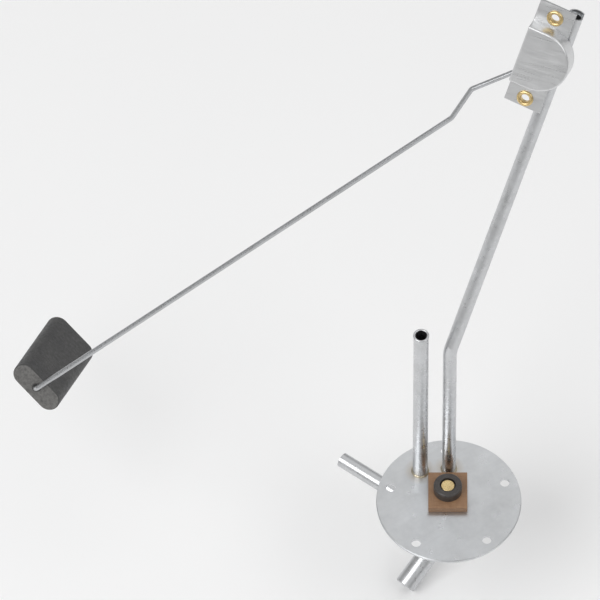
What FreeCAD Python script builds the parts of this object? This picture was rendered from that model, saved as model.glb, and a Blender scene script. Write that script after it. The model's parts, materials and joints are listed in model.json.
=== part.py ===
import FreeCAD, Part
import math
import os
import Sketcher
from FreeCAD import Placement, Rotation, Vector

# Fuel sending unit for a five-screw tank flange, millimetres.
# Origin: centre of the flange on its tank-side face. +Z points into the tank, so the unit is shown as
# it lies on a bench before fitting: pipes, sender and float stand above the flange, nipples hang below.
# The sender's own frame has its origin at the middle of the base plate's front face. Its Y runs along
# the slanted leg of the supply pipe and its Z is the pivot axis, out of the plate.

SIZES = {
    # Flange
    "flange_diameter": 84.0,
    "flange_thickness": 2.0,
    "flange_edge": 0.4,
    "screw_margin": 7.25,
    "screw_hole": 5.6,
    "screw_count": 5,
    "first_screw_angle": 21.0,
    # Pipes
    "supply_diameter": 8.0,
    "supply_wall": 0.9,
    "supply_across": 0.1,
    "supply_inset": 20.0,
    "supply_rise": 123.3,
    "supply_drop": 61.0,
    "pipe_end_gap": 4.2,
    "leg_lean_angle": 29.4,
    "leg_heading": 52.3,
    "outlet_run": 42.0,
    "outlet_heading": 228.7,
    "outlet_droop_angle": 26.5,
    "supply_bend": 16.0,
    "vent_diameter": 8.8,
    "vent_wall": 0.9,
    "vent_across": -16.5,
    "vent_setback": 1.5,
    "vent_rise": 142.0,
    "vent_drop": 39.0,
    "vent_run": 56.1,
    "vent_heading": 143.7,
    "vent_bend": 14.0,
    "rim_thickness": 1.4,
    "nipple_diameter": 12.2,
    "nipple_length": 30.0,
    "nipple_chamfer": 0.5,
    "nipple_overhang": 1.0,
    "braze_leg": 0.95,
    # Electrical terminal
    "terminal_across": -0.6,
    "block_gap": 1.2,
    "block_width": 22.6,
    "block_depth": 24.8,
    "block_height": 4.2,
    "boss_diameter": 16.5,
    "boss_height": 6.0,
    "boss_edge": 0.8,
    "recess_diameter": 9.1,
    "recess_depth": 2.4,
    "stud_diameter": 5.0,
    "stud_head": 8.0,
    "stud_head_height": 1.6,
    "stud_head_edge": 0.4,
    "terminal_hole": 9.0,
    "collar_diameter": 18.0,
    "collar_height": 3.0,
    "washer_diameter": 11.0,
    "washer_thickness": 1.0,
    "nut_across_flats": 8.0,
    "nut_height": 4.0,
    "stud_tail": 2.0,
    "stud_point": 4.1,
    "stud_point_length": 4.5,
    "stud_chamfer": 0.5,
    # Sender housing
    "plate_width": 22.4,
    "upper_ear": 13.75,
    "lower_ear": 17.15,
    "plate_thickness": 1.2,
    "plate_along_leg": 207.0,
    "pipe_offset": 10.5,
    "sender_twist_angle": -74.2,
    "can_radius": 19.2,
    "can_height": 10.5,
    "sheet_thickness": 0.6,
    "can_edge": 1.2,
    "pivot_up": 1.7,
    "window_height": 7.4,
    "window_gap": 0.3,
    "arm_travel_angle": 75.0,
    "upper_eyelet_gap": 6.1,
    "lower_eyelet_inset": 5.45,
    "eyelet_across": 0.2,
    "eyelet_bore": 5.2,
    "eyelet_shank": 6.6,
    "eyelet_flange": 10.0,
    "eyelet_roll": 1.0,
    "eyelet_bevel": 0.4,
    "clip_thickness": 0.8,
    "clip_width": 11.0,
    "clip_foot": 5.5,
    "clip_wrap": 3.7,
    # Pivot and hub
    "pin_diameter": 3.0,
    "pin_head": 6.0,
    "pin_head_height": 0.8,
    "pin_end_gap": 0.3,
    "thrust_diameter": 7.0,
    "thrust_thickness": 0.6,
    "hub_diameter": 9.2,
    "hub_height": 7.5,
    "hub_spigot": 6.0,
    "spigot_height": 0.5,
    "lug_length": 8.2,
    "lug_width": 6.8,
    "clip_groove": 0.4,
    "retainer_thickness": 0.5,
    "retainer_diameter": 6.4,
    "grub_diameter": 2.5,
    "grub_along": 6.0,
    "grub_slot": 0.5,
    "grub_slot_depth": 0.7,
    "grub_proud": 0.3,
    # Resistor and wiper
    "card_inset": 3.3,
    "card_thickness": 1.2,
    "card_bottom": 1.0,
    "card_top": 7.0,
    "card_span_angle": 84.0,
    "card_foot_angle": 16.0,
    "winding_margin_angle": 1.5,
    "tab_length": 2.4,
    "tab_relief": 0.1,
    "wire_layer": 0.3,
    "turn_ridge": 0.15,
    "turn_count": 44,
    "tag_rivet": 1.6,
    "tag_head": 0.5,
    "wiper_thickness": 0.3,
    "wiper_root": 6.0,
    "wiper_tip": 2.6,
    "wiper_angle": 169.0,
    "ring_setback": 0.3,
    "contact_diameter": 2.2,
    "contact_face": 1.3,
    "contact_bevel": 0.3,
    # Arm and float
    "arm_heading": 228.5,
    "wire_diameter": 3.0,
    "wire_height": 5.2,
    "wire_offset": 2.25,
    "wire_start": 3.8,
    "first_run": 47.7,
    "jog_run": 23.3,
    "jog_angle": 29.3,
    "main_run": 329.4,
    "main_angle": -19.25,
    "arm_bend": 5.0,
    "eye_bend": 3.0,
    "float_depth": 64.5,
    "float_width": 33.4,
    "float_thickness": 13.7,
    "float_angle": -25.4,
    "float_edge": 0.8,
    "push_nut_diameter": 8.0,
    "push_nut_crown": 4.8,
    "push_nut_rim": 0.4,
    "push_nut_thickness": 1.0,
    "wire_tail": 1.5,
    # Clearances, and how far a cut runs past what it cuts
    "cut_margin": 1.0,
    "running": 0.05,
    "close": 0.02,
    "contact_gap": 0.2,
    "end_float": 0.1,
}

doc = FreeCAD.newDocument("FuelSendingUnit")
sheet = doc.addObject("Spreadsheet::Sheet", "Sizes")
for row, (alias, number) in enumerate(SIZES.items(), start=1):
    sheet.set(f"A{row}", alias)
    sheet.set(f"B{row}", str(number))
    sheet.setAlias(f"B{row}", alias)
doc.recompute()

parts = []
NUT_SIDES = 6


class Size:
    """A length or an angle that carries both its number and the sheet expression that gives it."""

    def __init__(self, number, text):
        self.number = number
        self.text = text

    def __add__(self, other):
        other = as_size(other)
        return Size(self.number + other.number, f"({self.text} + {other.text})")

    def __sub__(self, other):
        other = as_size(other)
        return Size(self.number - other.number, f"({self.text} - {other.text})")

    def __mul__(self, other):
        other = as_size(other)
        return Size(self.number * other.number, f"({self.text} * {other.text})")

    def __truediv__(self, other):
        other = as_size(other)
        return Size(self.number / other.number, f"({self.text} / {other.text})")

    def __neg__(self):
        return Size(-self.number, f"(0 - {self.text})")


def as_size(value):
    return value if isinstance(value, Size) else Size(float(value), str(value))


def size(alias):
    return Size(float(sheet.get(alias)), f"Sizes.{alias}")


def cosine(angle):
    return Size(math.cos(math.radians(angle.number)), f"cos({angle.text})")


def sine(angle):
    return Size(math.sin(math.radians(angle.number)), f"sin({angle.text})")


def bind(item, path, value):
    """Ties a property to the sheet, or sets it where the value is a plain number."""
    item.setExpression(path, as_size(value).text)


def new_body(label, place=None):
    body = doc.addObject("PartDesign::Body", label)
    body.Label = label
    body.Placement = place or Placement()
    parts.append(body)
    return body


def new_sketch(body, name, role="XY_Plane", lift=0):
    """A sketch on one of the body's own origin planes, raised along the plane's normal."""
    sketch = body.newObject("Sketcher::SketchObject", name)
    plane = [item for item in body.Origin.OriginFeatures if item.Role == role][0]
    sketch.AttachmentSupport = [(plane, "")]
    sketch.MapMode = "FlatFace"
    bind(sketch, "AttachmentOffset.Base.z", lift)
    return sketch


def constrain(sketch, value, *where):
    index = sketch.addConstraint(Sketcher.Constraint(*where, as_size(value).number))
    sketch.setExpression(f"Constraints[{index}]", as_size(value).text)


def draw_circle(sketch, radius, across=0, up=0):
    radius, across, up = as_size(radius), as_size(across), as_size(up)
    centre = Vector(across.number, up.number, 0)
    index = sketch.addGeometry(Part.Circle(centre, Vector(0, 0, 1), radius.number))
    constrain(sketch, radius, "Radius", index)
    constrain(sketch, across, "DistanceX", -1, 1, index, 3)
    constrain(sketch, up, "DistanceY", -1, 1, index, 3)


def draw_outline(sketch, corners):
    """A closed outline of straight lines, each corner placed from the sheet."""
    corners = [(as_size(across), as_size(up)) for across, up in corners]
    points = [Vector(across.number, up.number, 0) for across, up in corners]
    lines = [
        sketch.addGeometry(Part.LineSegment(start, end))
        for start, end in zip(points, points[1:] + points[:1])
    ]
    for line, following in zip(lines, lines[1:] + lines[:1]):
        sketch.addConstraint(Sketcher.Constraint("Coincident", line, 2, following, 1))
    for line, (across, up) in zip(lines, corners):
        constrain(sketch, across, "DistanceX", -1, 1, line, 1)
        constrain(sketch, up, "DistanceY", -1, 1, line, 1)


def draw_rectangle(sketch, left, right, bottom, top):
    draw_outline(sketch, [(left, bottom), (right, bottom), (right, top), (left, top)])


def draw_can_outline(sketch, radius, left, up):
    """A D: flat on the left, a half circle on the right about the point (0, up)."""
    radius, left, up = as_size(radius), as_size(left), as_size(up)
    low = Vector(0, up.number - radius.number, 0)
    high = Vector(0, up.number + radius.number, 0)
    far_low = Vector(left.number, low.y, 0)
    far_high = Vector(left.number, high.y, 0)
    east = Vector(radius.number, up.number, 0)
    arc = sketch.addGeometry(Part.Arc(low, east, high))
    top = sketch.addGeometry(Part.LineSegment(high, far_high))
    flat = sketch.addGeometry(Part.LineSegment(far_high, far_low))
    foot = sketch.addGeometry(Part.LineSegment(far_low, low))
    for first, second in ((top, flat), (flat, foot), (foot, arc)):
        sketch.addConstraint(Sketcher.Constraint("Coincident", first, 2, second, 1))
    sketch.addConstraint(Sketcher.Constraint("Horizontal", top))
    sketch.addConstraint(Sketcher.Constraint("Horizontal", foot))
    sketch.addConstraint(Sketcher.Constraint("Vertical", flat))
    sketch.addConstraint(Sketcher.Constraint("Tangent", arc, 2, top, 1))
    constrain(sketch, radius, "Radius", arc)
    constrain(sketch, 0, "DistanceX", -1, 1, arc, 3)
    constrain(sketch, up, "DistanceY", -1, 1, arc, 3)
    constrain(sketch, left, "DistanceX", -1, 1, flat, 1)
    sketch.addConstraint(Sketcher.Constraint("Vertical", arc, 1, arc, 3))


def draw_stadium(sketch, half_straight, radius):
    """Two straight sides along X joined by half circles."""
    half_straight, radius = as_size(half_straight), as_size(radius)
    a, r = half_straight.number, radius.number
    right = sketch.addGeometry(Part.Arc(Vector(a, -r, 0), Vector(a + r, 0, 0), Vector(a, r, 0)))
    top = sketch.addGeometry(Part.LineSegment(Vector(a, r, 0), Vector(-a, r, 0)))
    left = sketch.addGeometry(Part.Arc(Vector(-a, r, 0), Vector(-a - r, 0, 0), Vector(-a, -r, 0)))
    bottom = sketch.addGeometry(Part.LineSegment(Vector(-a, -r, 0), Vector(a, -r, 0)))
    for first, second in ((right, top), (top, left), (left, bottom), (bottom, right)):
        sketch.addConstraint(Sketcher.Constraint("Tangent", first, 2, second, 1))
    sketch.addConstraint(Sketcher.Constraint("Equal", right, left))
    constrain(sketch, radius, "Radius", right)
    constrain(sketch, half_straight, "DistanceX", -1, 1, right, 3)
    constrain(sketch, 0, "DistanceY", -1, 1, right, 3)
    constrain(sketch, -half_straight, "DistanceX", -1, 1, left, 3)
    constrain(sketch, 0, "DistanceY", -1, 1, left, 3)


def pad(body, sketch, length, downward=False, both_ways=False):
    feature = body.newObject("PartDesign::Pad", sketch.Name + "Pad")
    feature.Profile = sketch
    bind(feature, "Length", length)
    feature.Reversed = downward
    feature.Midplane = both_ways
    doc.recompute()
    return feature


def pocket(body, sketch, length, upward=False, both_ways=False):
    """Cuts away from the sketch, and makes sure that something was really removed."""
    before = body.Shape.Volume
    feature = body.newObject("PartDesign::Pocket", sketch.Name + "Pocket")
    feature.Profile = sketch
    bind(feature, "Length", length)
    feature.Reversed = upward
    feature.Midplane = both_ways
    doc.recompute()
    if body.Shape.Volume > before - 1e-6:
        raise RuntimeError(f"{feature.Name} removes nothing")
    return feature


def revolve(body, sketch, angle=360, both_ways=False):
    """Turns a profile drawn on the XZ plane about the body's Z axis."""
    feature = body.newObject("PartDesign::Revolution", sketch.Name + "Turn")
    feature.Profile = sketch
    feature.ReferenceAxis = (sketch, ["V_Axis"])
    bind(feature, "Angle", angle)
    feature.Midplane = both_ways
    doc.recompute()
    return feature


def groove(body, sketch, angle, both_ways=False):
    before = body.Shape.Volume
    feature = body.newObject("PartDesign::Groove", sketch.Name + "Groove")
    feature.Profile = sketch
    feature.ReferenceAxis = (sketch, ["V_Axis"])
    bind(feature, "Angle", angle)
    feature.Midplane = both_ways
    doc.recompute()
    if body.Shape.Volume > before - 1e-6:
        raise RuntimeError(f"{feature.Name} removes nothing")
    return feature


def repeat_round(body, feature, sketch, count, angle=360):
    pattern = body.newObject("PartDesign::PolarPattern", feature.Name + "Pattern")
    pattern.Originals = [feature]
    pattern.Axis = (sketch, ["N_Axis"])
    bind(pattern, "Angle", angle)
    bind(pattern, "Occurrences", count)
    body.Tip = pattern
    doc.recompute()
    return pattern


def edge_names(shape, wanted):
    return [f"Edge{n}" for n, edge in enumerate(shape.Edges, start=1) if wanted(edge)]


def dress_edges(body, kind, amount, wanted):
    """Rounds or chamfers the edges of the body's tip that pass the test."""
    base = body.Tip
    names = edge_names(base.Shape, wanted)
    feature = body.newObject(f"PartDesign::{kind}", body.Name + kind)
    feature.Base = (base, names)
    bind(feature, "Radius" if kind == "Fillet" else "Size", amount)
    doc.recompute()
    return feature


def level_edge(height):
    """A test for edges that lie in the plane Z = height of the body."""
    def lies_level(edge):
        box = edge.BoundBox
        return abs(box.ZMin - height.number) < 1e-4 and abs(box.ZMax - height.number) < 1e-4
    return lies_level


def turned_part(label, profile, place=None):
    """A part turned from one closed profile of (radius, height) corners."""
    body = new_body(label, place)
    sketch = new_sketch(body, label.title().replace("_", "") + "Profile", "XZ_Plane")
    draw_outline(sketch, profile)
    revolve(body, sketch)
    return body


def direction(heading, droop=0.0):
    """Unit vector of a plan heading, tipped below the horizontal by droop, both in degrees."""
    flat = math.cos(math.radians(droop))
    return Vector(
        flat * math.cos(math.radians(heading)),
        flat * math.sin(math.radians(heading)),
        -math.sin(math.radians(droop)),
    )


def bent_route(label, corners, radii):
    """A wire of straight runs joined by tangent arcs, one radius for each inner corner."""
    edges = []
    start = corners[0]
    for before, corner, after, radius in zip(corners, corners[1:], corners[2:], radii):
        back = (before - corner).normalize()
        ahead = (after - corner).normalize()
        half = back.getAngle(ahead) / 2
        reach = radius / math.tan(half)
        middle = (back + ahead).normalize() * (radius / math.sin(half) - radius)
        entry = corner + back * reach
        leave = corner + ahead * reach
        edges.append(Part.LineSegment(start, entry).toShape())
        edges.append(Part.Arc(entry, corner + middle, leave).toShape())
        start = leave
    edges.append(Part.LineSegment(start, corners[-1]).toShape())
    route = doc.addObject("Part::Feature", label + "_route")
    route.Shape = Part.Wire(edges)
    return route


def sweep_round(label, route, radius):
    """Sweeps a circle along a route and gives the solid."""
    first = route.Shape.Edges[0]
    start = first.valueAt(first.FirstParameter)
    circle = doc.addObject("Part::Circle", label + "_section")
    bind(circle, "Radius", radius)
    circle.Placement = Placement(start, Rotation(Vector(0, 0, 1), first.tangentAt(first.FirstParameter)))
    solid = doc.addObject("Part::Sweep", label)
    solid.Sections = [circle]
    solid.Spine = (route, [f"Edge{n}" for n in range(1, len(route.Shape.Edges) + 1)])
    solid.Solid = True
    solid.Frenet = False
    doc.recompute()
    return solid


def bent_tube(label, route, outer, inner):
    cut = doc.addObject("Part::Cut", label)
    cut.Base = sweep_round(label + "_outside", route, outer)
    cut.Tool = sweep_round(label + "_bore", route, inner)
    doc.recompute()
    return cut


# Places that several parts share

supply_radius = size("supply_diameter") / 2
supply_back = size("flange_diameter") / 2 - size("supply_inset")
supply_foot = Vector(size("supply_across").number, supply_back.number, 0)
supply_elbow = supply_foot + Vector(0, 0, size("supply_rise").number)
supply_low = supply_foot - Vector(0, 0, size("supply_drop").number)
outlet_line = direction(size("outlet_heading").number, size("outlet_droop_angle").number)
outlet_end = supply_low + outlet_line * size("outlet_run").number
vent_radius = size("vent_diameter") / 2
vent_back = supply_back - size("vent_setback")
vent_foot = Vector(size("vent_across").number, vent_back.number, 0)
terminal_back = supply_back - supply_radius - size("block_gap") - size("block_depth") / 2
terminal_place = Placement(Vector(size("terminal_across").number, terminal_back.number, 0), Rotation())

leg_frame = (
    Rotation(Vector(0, 0, 1), size("leg_heading").number)
    * Rotation(Vector(0, 1, 0), size("leg_lean_angle").number)
    * Rotation(Vector(0, 0, 1), size("sender_twist_angle").number)
    * Rotation(Vector(1, 0, 0), 90)
)
leg_line = leg_frame.multVec(Vector(0, 1, 0))
plate_front = (supply_radius + size("plate_thickness")).number
can_top = size("pivot_up") + size("can_radius")
can_bottom = size("pivot_up") - size("can_radius")
plate_top = can_top + size("upper_ear")
plate_bottom = can_bottom - size("lower_ear")
upper_leg = size("plate_along_leg") + plate_top - size("pipe_end_gap")
sender_origin = (
    supply_elbow
    + leg_line * size("plate_along_leg").number
    + leg_frame.multVec(Vector(-size("pipe_offset").number, 0, plate_front))
)
sender_place = Placement(sender_origin, leg_frame)
pivot_place = sender_place * Placement(Vector(0, size("pivot_up").number, 0), Rotation())
arm_place = pivot_place * Placement(Vector(), Rotation(Vector(0, 0, 1), size("arm_heading").number))

# Heights above the base plate's front face that stack up along the pivot
hub_bottom = size("thrust_thickness") + size("running")
hub_top = hub_bottom + size("hub_height")
spigot_top = hub_top + size("spigot_height")
can_inside = size("can_height") - size("sheet_thickness")
card_radius = size("can_radius") - size("sheet_thickness") - size("card_inset")
retainer_bottom = spigot_top + size("end_float")
pin_top = can_inside - size("pin_end_gap")
wire_radius = size("wire_diameter") / 2
winding_top = size("card_top") + size("close") + size("wire_layer") + size("turn_ridge")
float_front = size("wire_height") - size("eye_bend") - size("end_float")
float_back = float_front - size("float_depth")


def arm_corners():
    """The arm wire's corners in the arm frame: X along the first run, Z along the pivot."""
    offset = size("wire_offset").number
    height = size("wire_height").number
    first_bend = Vector(size("first_run").number, offset, height)
    second_bend = first_bend + direction(size("jog_angle").number) * size("jog_run").number
    main_heading = size("jog_angle").number + size("main_angle").number
    eye = second_bend + direction(main_heading) * size("main_run").number
    tip_drop = size("push_nut_thickness") + size("end_float") + size("wire_tail") - float_back
    tip = Vector(eye.x, eye.y, -tip_drop.number)
    return [Vector(size("wire_start").number, offset, height), first_bend, second_bend, eye, tip]


eye = arm_corners()[3]
float_spin = Rotation(Vector(0, 0, 1), size("float_angle").number - size("arm_heading").number)
float_place = arm_place * Placement(Vector(eye.x, eye.y, 0), float_spin)


def make_flange():
    body = new_body("flange_plate")
    disc = new_sketch(body, "FlangeDisc")
    draw_circle(disc, size("flange_diameter") / 2)
    pad(body, disc, size("flange_thickness"), downward=True)
    dress_edges(body, "Chamfer", size("flange_edge"), lambda edge: True)
    screws = new_sketch(body, "ScrewHole")
    reach = size("flange_diameter") / 2 - size("screw_margin")
    angle = size("first_screw_angle")
    draw_circle(screws, size("screw_hole") / 2, reach * cosine(angle), reach * sine(angle))
    first = pocket(body, screws, size("flange_thickness"))
    repeat_round(body, first, screws, size("screw_count"))
    passages = new_sketch(body, "Passages")
    draw_circle(passages, supply_radius + size("close"), size("supply_across"), supply_back)
    draw_circle(passages, vent_radius + size("close"), size("vent_across"), vent_back)
    draw_circle(passages, size("terminal_hole") / 2, size("terminal_across"), terminal_back)
    pocket(body, passages, size("flange_thickness"))


def make_supply_pipe():
    bend = size("supply_bend").number
    corners = [outlet_end, supply_low, supply_elbow, supply_elbow + leg_line * upper_leg.number]
    route = bent_route("supply_pipe", corners, [bend, bend])
    parts.append(bent_tube("supply_pipe", route, supply_radius, supply_radius - size("supply_wall")))


def make_outlet_nipple():
    """The larger hose nipple brazed over the supply pipe's outer end."""
    inner = supply_radius + size("close")
    outer = size("nipple_diameter") / 2
    mouth = size("nipple_overhang")
    chamfer = size("nipple_chamfer")
    profile = [
        (inner, mouth - size("nipple_length")),
        (outer, mouth - size("nipple_length")),
        (outer, mouth - chamfer),
        (outer - chamfer, mouth),
        (inner, mouth),
    ]
    turned_part("outlet_nipple", profile, Placement(outlet_end, Rotation(Vector(0, 0, 1), outlet_line)))


def make_vent_pipe():
    low = vent_foot - Vector(0, 0, size("vent_drop").number)
    end = low + direction(size("vent_heading").number) * size("vent_run").number
    top = vent_foot + Vector(0, 0, size("vent_rise").number)
    route = bent_route("vent_pipe", [end, low, top], [size("vent_bend").number])
    tube = bent_tube("vent_tube", route, vent_radius, vent_radius - size("vent_wall"))
    rim = doc.addObject("Part::Torus", "vent_rim")
    bind(rim, "Radius1", vent_radius - size("vent_wall") / 2)
    bind(rim, "Radius2", size("rim_thickness") / 2)
    rim.Placement = Placement(top, Rotation())
    whole = doc.addObject("Part::Fuse", "vent_pipe")
    whole.Base = tube
    whole.Tool = rim
    parts.append(whole)


def make_braze_rings():
    """The braze fillet where each pipe goes through the flange, on the tank side."""
    leg = size("braze_leg")
    for label, radius, foot in (
        ("supply_braze", supply_radius, supply_foot),
        ("vent_braze", vent_radius, vent_foot),
    ):
        inner = radius + size("close")
        turned_part(label, [(inner, 0), (inner + leg, 0), (inner, leg)], Placement(foot, Rotation()))


def make_terminal():
    stud = size("stud_diameter") / 2
    bore = stud + size("running")
    block_top = size("block_height")
    boss_top = block_top + size("boss_height")
    recess_floor = boss_top - size("recess_depth")
    under = -size("flange_thickness")
    collar_bottom = under - size("collar_height")
    washer_bottom = collar_bottom - size("washer_thickness")
    nut_bottom = washer_bottom - size("nut_height")

    body = new_body("terminal_block", terminal_place)
    square = new_sketch(body, "BlockSquare")
    half_width, half_depth = size("block_width") / 2, size("block_depth") / 2
    draw_rectangle(square, -half_width, half_width, -half_depth, half_depth)
    draw_circle(square, bore)
    pad(body, square, block_top)

    body = turned_part(
        "terminal_bushing",
        [
            (bore, block_top),
            (size("boss_diameter") / 2, block_top),
            (size("boss_diameter") / 2, boss_top),
            (size("recess_diameter") / 2, boss_top),
            (size("recess_diameter") / 2, recess_floor),
            (bore, recess_floor),
        ],
        terminal_place,
    )
    rim = size("boss_diameter").number / 2
    dress_edges(
        body, "Chamfer", size("boss_edge"),
        lambda edge: level_edge(boss_top)(edge) and edge.BoundBox.XMax > rim - 1e-3,
    )

    shoulder = nut_bottom - size("nut_height") - size("stud_tail")
    stud_end = shoulder - size("stud_point_length")
    point = size("stud_point") / 2
    head = size("stud_head") / 2
    head_top = recess_floor + size("stud_head_height")
    turned_part(
        "terminal_stud",
        [
            (0, stud_end),
            (point - size("stud_chamfer"), stud_end),
            (point, stud_end + size("stud_chamfer")),
            (point, shoulder),
            (stud, shoulder),
            (stud, recess_floor),
            (head, recess_floor),
            (head, head_top - size("stud_head_edge")),
            (head - size("stud_head_edge"), head_top),
            (0, head_top),
        ],
        terminal_place,
    )
    spigot = size("terminal_hole") / 2 - size("running")
    turned_part(
        "outer_insulator",
        [
            (bore, collar_bottom),
            (size("collar_diameter") / 2, collar_bottom),
            (size("collar_diameter") / 2, under),
            (spigot, under),
            (spigot, -size("running")),
            (bore, -size("running")),
        ],
        terminal_place,
    )
    turned_part(
        "terminal_washer",
        [
            (bore, washer_bottom),
            (size("washer_diameter") / 2, washer_bottom),
            (size("washer_diameter") / 2, collar_bottom),
            (bore, collar_bottom),
        ],
        terminal_place,
    )
    make_nut("terminal_nut", bore, washer_bottom)
    make_nut("lead_nut", bore, nut_bottom)


def make_nut(label, bore, top):
    """A hexagon nut hung below the given height, with its corners turned off at both faces."""
    body = new_body(label, terminal_place)
    hexagon = new_sketch(body, label.title().replace("_", "") + "Hexagon", lift=top)
    corner = size("nut_across_flats") / 2 / cosine(as_size(180 / NUT_SIDES))
    turns = [as_size(360 / NUT_SIDES * side) for side in range(NUT_SIDES)]
    draw_outline(hexagon, [(corner * cosine(turn), corner * sine(turn)) for turn in turns])
    draw_circle(hexagon, bore)
    pad(body, hexagon, size("nut_height"), downward=True)
    crown = new_sketch(body, label.title().replace("_", "") + "Crown", "XZ_Plane")
    flat = size("nut_across_flats") / 2
    outside = corner + size("cut_margin")
    draw_outline(crown, [(flat, top), (outside, top), (outside, top - (outside - flat) / 2)])
    bottom = top - size("nut_height")
    draw_outline(crown, [(flat, bottom), (outside, bottom), (outside, bottom + (outside - flat) / 2)])
    groove(body, crown, 360)


def eyelet_centres():
    across = size("eyelet_across")
    return (
        ("upper", across, can_top + size("upper_eyelet_gap")),
        ("lower", across, plate_bottom + size("lower_eyelet_inset")),
    )


def make_sender_plate():
    """The steel base plate, widened to a half disc behind the can."""
    body = new_body("sender_plate", sender_place)
    half_width = size("plate_width") / 2
    strip = new_sketch(body, "PlateStrip")
    draw_rectangle(strip, -half_width, half_width, plate_bottom, plate_top)
    pad(body, strip, size("plate_thickness"), downward=True)
    bulge = new_sketch(body, "PlateBulge")
    draw_can_outline(bulge, size("can_radius"), -half_width, size("pivot_up"))
    pad(body, bulge, size("plate_thickness"), downward=True)
    holes = new_sketch(body, "PlateHoles")
    draw_circle(holes, size("pin_diameter") / 2 + size("close"), 0, size("pivot_up"))
    for name, across, up in eyelet_centres():
        draw_circle(holes, size("eyelet_shank") / 2 + size("close"), across, up)
    pocket(body, holes, size("plate_thickness"))
    slots = new_sketch(body, "CardSlots")
    for side in (1, -1):
        draw_card_tab(slots, side, size("close"))
    pocket(body, slots, size("plate_thickness"))


def draw_card_tab(sketch, side, gap, up=None):
    """The foot tab of the resistor card in plan, grown by gap all round."""
    up = size("pivot_up") if up is None else up
    angle = (size("card_span_angle") / 2 + size("card_foot_angle") / 2) * side
    along = size("tab_length") / 2 + gap
    through = size("card_thickness") / 2 - size("tab_relief") + gap
    radius = card_radius
    corners = []
    for radial, tangential in ((-1, -1), (1, -1), (1, 1), (-1, 1)):
        reach = radius + through * radial
        shift = along * tangential
        corners.append((
            reach * cosine(angle) - shift * sine(angle),
            reach * sine(angle) + shift * cosine(angle) + up,
        ))
    draw_outline(sketch, corners)


def make_sender_cover():
    """The pressed D can and its two ears.

    A window at the foot of its flat side lets the arm wire out. Its lower end is the can's end wall and
    its upper end stops the wire after the arm's travel.
    """
    body = new_body("sender_cover", sender_place)
    half_width = size("plate_width") / 2
    sheet_metal = size("sheet_thickness")
    ears = new_sketch(body, "CoverEars")
    draw_rectangle(ears, -half_width, half_width, plate_bottom, plate_top)
    pad(body, ears, sheet_metal)
    outside = new_sketch(body, "CanOutside")
    draw_can_outline(outside, size("can_radius"), -half_width, size("pivot_up"))
    pad(body, outside, size("can_height"))
    dress_edges(body, "Fillet", size("can_edge"), level_edge(size("can_height")))
    inside = new_sketch(body, "CanInside")
    draw_can_outline(inside, size("can_radius") - sheet_metal, sheet_metal - half_width, size("pivot_up"))
    pocket(body, inside, can_inside, upward=True)
    window = new_sketch(body, "ArmWindow")
    inner_half = size("can_radius") - sheet_metal
    highest = size("arm_heading") - size("arm_travel_angle")
    above = size("wire_offset") - wire_radius
    along = (above * sine(highest) - half_width) / cosine(highest)
    stop = above * cosine(highest) + along * sine(highest) + size("window_gap")
    margin = size("cut_margin")
    draw_rectangle(
        window, -half_width - margin, sheet_metal - half_width + margin,
        size("pivot_up") - inner_half, size("pivot_up") + stop,
    )
    pocket(body, window, size("window_height"), upward=True)
    holes = new_sketch(body, "EarHoles")
    for name, across, up in eyelet_centres():
        draw_circle(holes, size("eyelet_shank") / 2 + size("close"), across, up)
    pocket(body, holes, sheet_metal, upward=True)


def make_eyelets():
    """Tubular eyelets that clamp cover, plate and pipe clip together, rolled over at both ends."""
    bore = size("eyelet_bore") / 2
    shank = size("eyelet_shank") / 2
    flange = size("eyelet_flange") / 2
    bevel = size("eyelet_bevel")
    front = size("sheet_thickness")
    front_end = front + size("eyelet_roll")
    back = -size("plate_thickness") - size("clip_thickness")
    back_end = back - size("eyelet_roll")
    for name, across, up in eyelet_centres():
        place = sender_place * Placement(Vector(across.number, up.number, 0), Rotation())
        turned_part(
            f"{name}_eyelet",
            [
                (bore, back_end + bevel), (bore + bevel, back_end), (flange - bevel, back_end),
                (flange, back_end + bevel), (flange, back), (shank, back),
                (shank, front), (flange, front), (flange, front_end - bevel),
                (flange - bevel, front_end), (bore + bevel, front_end), (bore, front_end - bevel),
            ],
            place,
        )


def make_pipe_clips():
    """Two hooked straps behind the plate that hold the supply pipe against it."""
    thick = size("clip_thickness")
    back = -size("plate_thickness")
    inner = supply_radius + size("close")
    outer = inner + thick
    pipe_x = size("pipe_offset")
    pipe_z = back - supply_radius
    margin = size("cut_margin")
    for name, across, up in eyelet_centres():
        body = new_body(f"{name}_pipe_clip", sender_place)
        title = name.title()
        ring = new_sketch(body, title + "ClipRing", "XZ_Plane", -up)
        draw_circle(ring, outer, pipe_x, pipe_z)
        draw_circle(ring, inner, pipe_x, pipe_z)
        pad(body, ring, size("clip_width"), both_ways=True)
        trim = new_sketch(body, title + "ClipTrim", "XZ_Plane", -up)
        draw_rectangle(trim, pipe_x - outer - margin, pipe_x + outer + margin, pipe_z, back + outer)
        pocket(body, trim, size("clip_width") + margin, both_ways=True)
        mouth = new_sketch(body, title + "ClipMouth", "XZ_Plane", -up)
        draw_rectangle(
            mouth, pipe_x + size("clip_wrap"), pipe_x + outer + margin, pipe_z - outer, pipe_z + margin
        )
        pocket(body, mouth, size("clip_width") + margin, both_ways=True)
        foot = new_sketch(body, title + "ClipFoot", "XZ_Plane", -up)
        draw_outline(
            foot,
            [
                (across - size("clip_foot"), back - thick),
                (pipe_x - outer, back - thick),
                (pipe_x - outer, pipe_z),
                (pipe_x - inner, pipe_z),
                (pipe_x - inner, back),
                (across - size("clip_foot"), back),
            ],
        )
        pad(body, foot, size("clip_width"), both_ways=True)
        hole = new_sketch(body, title + "ClipHole", lift=back)
        draw_circle(hole, size("eyelet_shank") / 2 + size("close"), across, up)
        pocket(body, hole, thick)


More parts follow.
